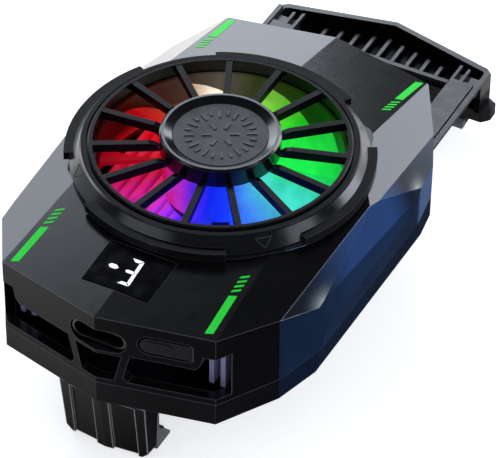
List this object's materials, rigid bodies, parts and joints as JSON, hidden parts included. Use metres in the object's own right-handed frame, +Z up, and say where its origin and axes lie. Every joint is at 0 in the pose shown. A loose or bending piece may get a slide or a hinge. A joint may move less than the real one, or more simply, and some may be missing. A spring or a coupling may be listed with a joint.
{
  "type": "phone cooling fan",
  "caption": "Clip-on phone cooler with a lit fan grille, a thermoelectric cold plate, a push tongue and a sliding clamp.",
  "frame": {"origin": "on the fan axis, at the face of the cold pad that touches the phone", "axes": "+Z up out of the fan, +Y towards the sliding clamp, +X to the right seen from the front"},
  "size_m": [0.0538, 0.1025, 0.0351],
  "materials": {
    "shell": "satin black-grey",
    "tray": "satin black",
    "bezel": "gloss black",
    "grille": "satin black",
    "disc": "matte",
    "blades": "translucent white",
    "magnet": "dull",
    "steel": "bright",
    "bronze": "sintered",
    "copper": "enamelled wire",
    "board": "solder mask",
    "white_board": "white",
    "diffuser": "frosted clear",
    "diode": "clear",
    "sink": "anodised",
    "ceramic": "ceramic white",
    "pellet": "dull",
    "foam": "closed foam",
    "plate": "milled",
    "pad": "soft",
    "window": "smoked gloss",
    "clamp": "satin dark grey",
    "rubber": "matte",
    "leg": "gloss black",
    "grey_rubber": "matte",
    "screw": "blackened"
  },
  "bodies": {
    "housing": {"top_cover": "shell", "bottom_cover": "tray", "bezel_ring": "bezel", "fan_grille": "grille", "hub_disc": "disc", "bearing_sleeve": "bronze", "fan_frame": "tray", "stator_core": "steel", "stator_coils": "copper", "motor_board": "board", "light_guide": "diffuser", "light_board": "white_board", "light_diodes": "diode", "heat_sink": "sink", "hot_ceramic": "ceramic", "module_pellets": "pellet", "cold_ceramic": "ceramic", "foam_seal": "foam", "cold_plate": "plate", "cold_pad": "pad", "control_board": "board", "charging_socket": "steel", "tact_switch": "steel", "display_module": "white_board", "display_window": "window", "front_leg": "leg", "front_jaw_pad": "grey_rubber", "left_spring": "steel", "right_spring": "steel", "cover_screws": "screw", "frame_screws": "screw", "leg_screws": "screw"},
    "rotor": {"fan_impeller": "blades", "rotor_magnet": "magnet", "rotor_shaft": "steel"},
    "clamp": {"clamp_frame": "clamp", "rear_jaw_pad": "rubber"},
    "button": {"power_button": "shell"}
  },
  "joints": [
    {"name": "fan_spin", "type": "hinge", "parent": "housing", "child": "rotor", "pos_m": [0, 0, 0.016], "axis": [0, 0, 1], "continuous": true},
    {"name": "clamp_slide", "type": "slide", "parent": "housing", "child": "clamp", "axis": [0, 1, 0], "range_m": [-0.018, 0], "stiffness_N_per_m": 250, "springref_m": -0.03, "deforming": ["left_spring", "right_spring"]},
    {"name": "button_press", "type": "hinge", "parent": "housing", "child": "button", "pos_m": [0.01398, -0.03486, 0.0138], "axis": [0, 0, 1], "range_deg": [-4.5, 0], "stiffness_Nm_per_rad": 0.2}
  ]
}
